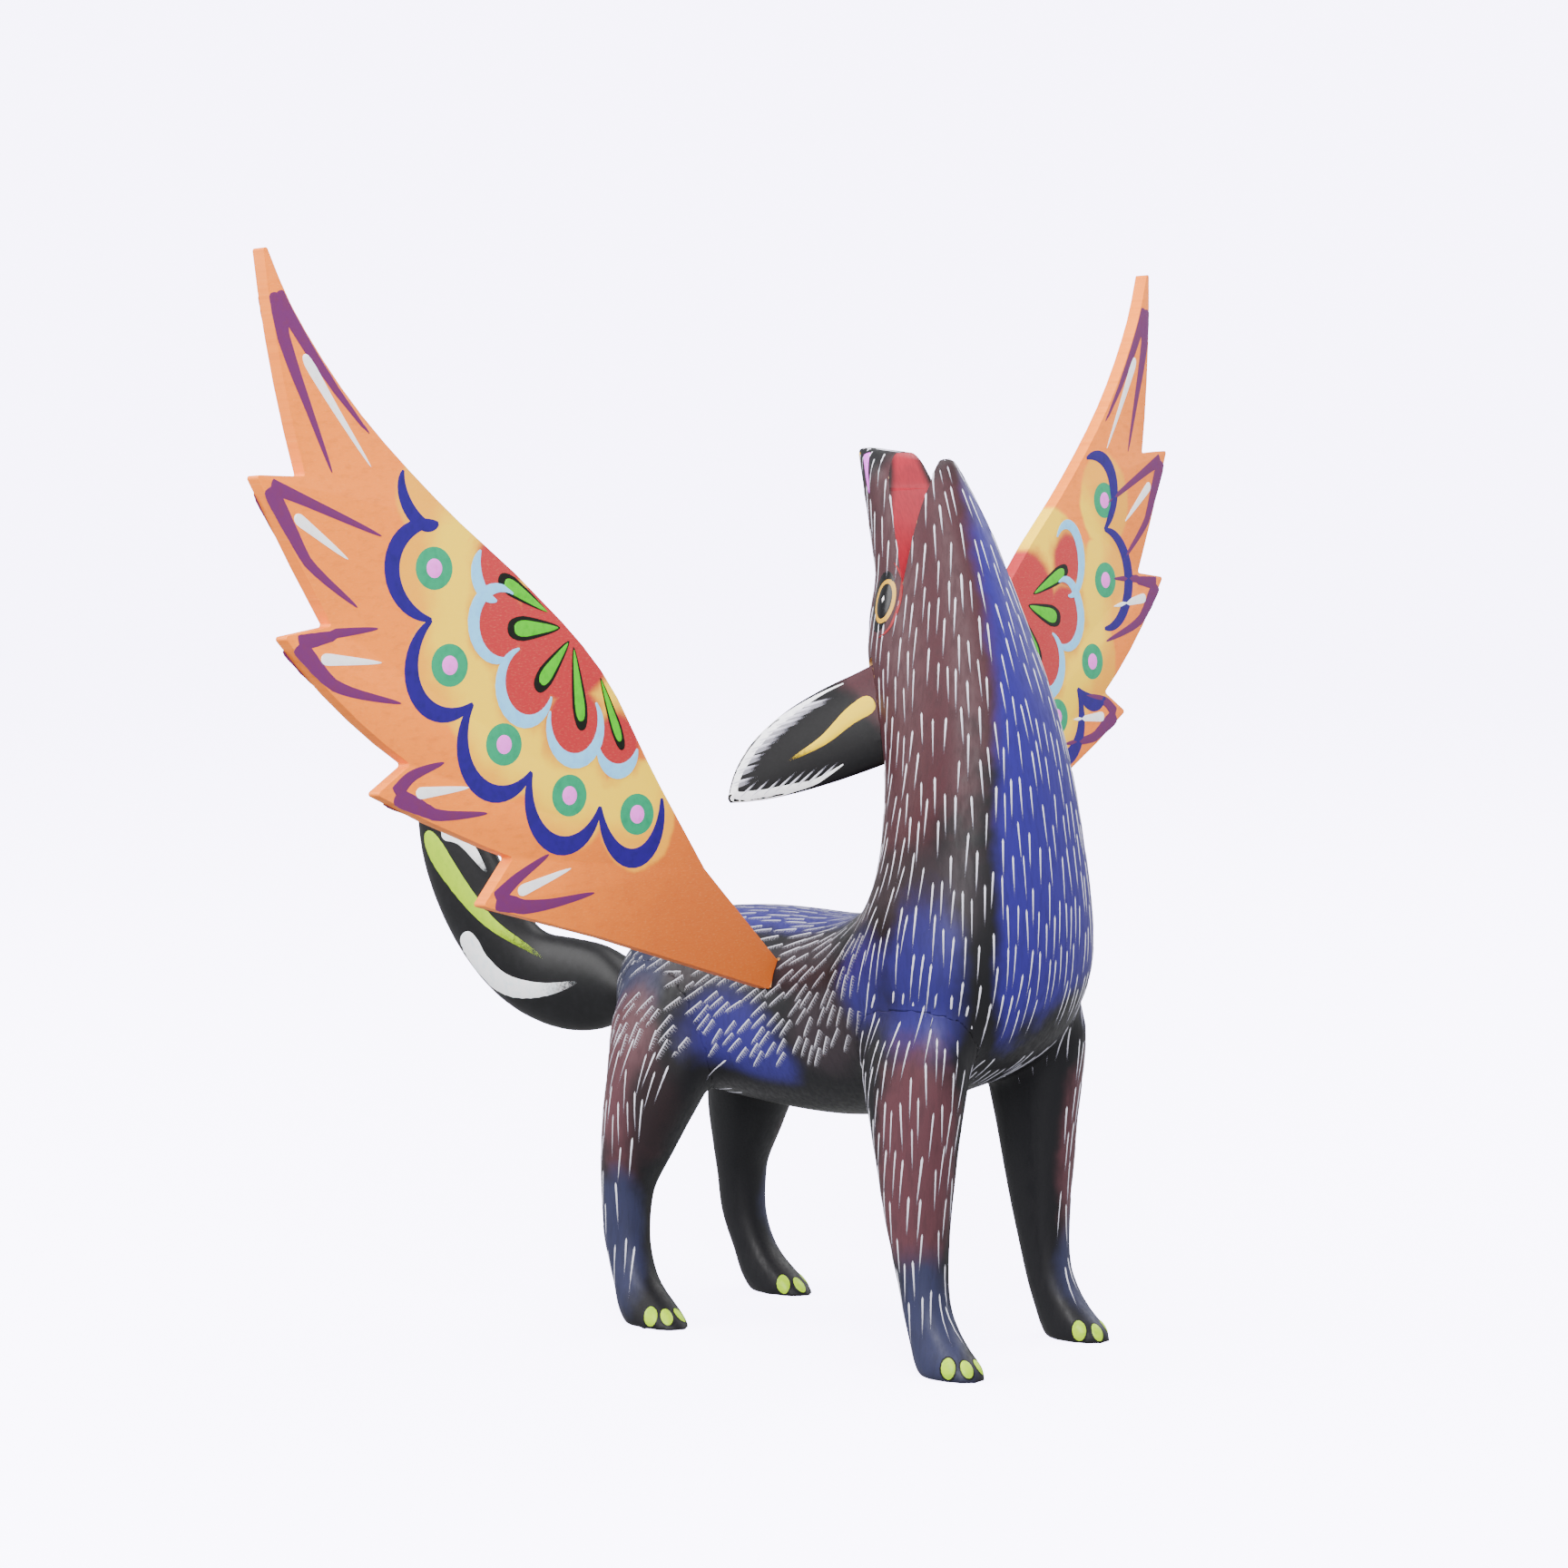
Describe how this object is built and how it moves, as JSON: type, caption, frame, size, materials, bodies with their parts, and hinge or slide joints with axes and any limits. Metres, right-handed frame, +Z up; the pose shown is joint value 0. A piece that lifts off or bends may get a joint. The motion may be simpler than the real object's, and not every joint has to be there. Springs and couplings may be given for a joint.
{
  "type": "winged animal figure",
  "caption": "Carved and painted wooden coyote howling straight up, on stiff legs, with raised feathered wings, leaf ears and a leaf tail that push in on pegs.",
  "frame": {"origin": "on the floor under the middle of the overall box: half way along the figure from the tail's curve to the chest, on its middle plane", "axes": "+X is the way the animal faces, +Y is its left side and runs along the span of the wings, +Z is up"},
  "size_m": [0.1958, 0.3392, 0.2493],
  "materials": {
    "trunk_paint": "satin acrylic paint on sanded wood, fine white hair strokes",
    "leg_paint": "satin acrylic paint on sanded wood, fine white hair strokes",
    "wing_paint": "matt acrylic paint on sanded wood, painted feather pattern",
    "ear_paint": "satin acrylic paint on sanded wood",
    "tail_paint": "satin acrylic paint on sanded wood",
    "dowel_wood": "bare wood"
  },
  "bodies": {
    "body": {"trunk": "trunk_paint", "leg_front_left": "leg_paint", "leg_front_right": "leg_paint", "leg_hind_left": "leg_paint", "leg_hind_right": "leg_paint", "dowel_front_left": "dowel_wood", "dowel_front_right": "dowel_wood", "dowel_hind_left": "dowel_wood", "dowel_hind_right": "dowel_wood"},
    "wing_left": {"wing_left": "wing_paint", "wing_peg_upper_left": "dowel_wood", "wing_peg_lower_left": "dowel_wood"},
    "wing_right": {"wing_right": "wing_paint", "wing_peg_upper_right": "dowel_wood", "wing_peg_lower_right": "dowel_wood"},
    "ear_left": {"ear_left": "ear_paint", "ear_peg_left": "dowel_wood"},
    "ear_right": {"ear_right": "ear_paint", "ear_peg_right": "dowel_wood"},
    "tail_peg": {"tail_peg": "dowel_wood"},
    "tail": {"tail": "tail_paint"}
  },
  "joints": [
    {"name": "wing_left_pull", "type": "slide", "parent": "body", "child": "wing_left", "axis": [-0.0909, 0.8438, 0.5289], "range_m": [0, 0.012]},
    {"name": "wing_right_pull", "type": "slide", "parent": "body", "child": "wing_right", "axis": [-0.0909, -0.8438, 0.5289], "range_m": [0, 0.012]},
    {"name": "ear_left_pull", "type": "slide", "parent": "body", "child": "ear_left", "axis": [-0.7156, 0.4838, -0.5039], "range_m": [0, 0.012]},
    {"name": "ear_right_pull", "type": "slide", "parent": "body", "child": "ear_right", "axis": [-0.7156, -0.4838, -0.5039], "range_m": [0, 0.012]},
    {"name": "tail_pull", "type": "slide", "parent": "body", "child": "tail_peg", "axis": [-1, 0, 0], "range_m": [0, 0.016]},
    {"name": "tail_turn", "type": "hinge", "parent": "tail_peg", "child": "tail", "pos_m": [-0.02542, 0, 0.074], "axis": [-1, 0, 0], "range_deg": [-30, 30]}
  ]
}
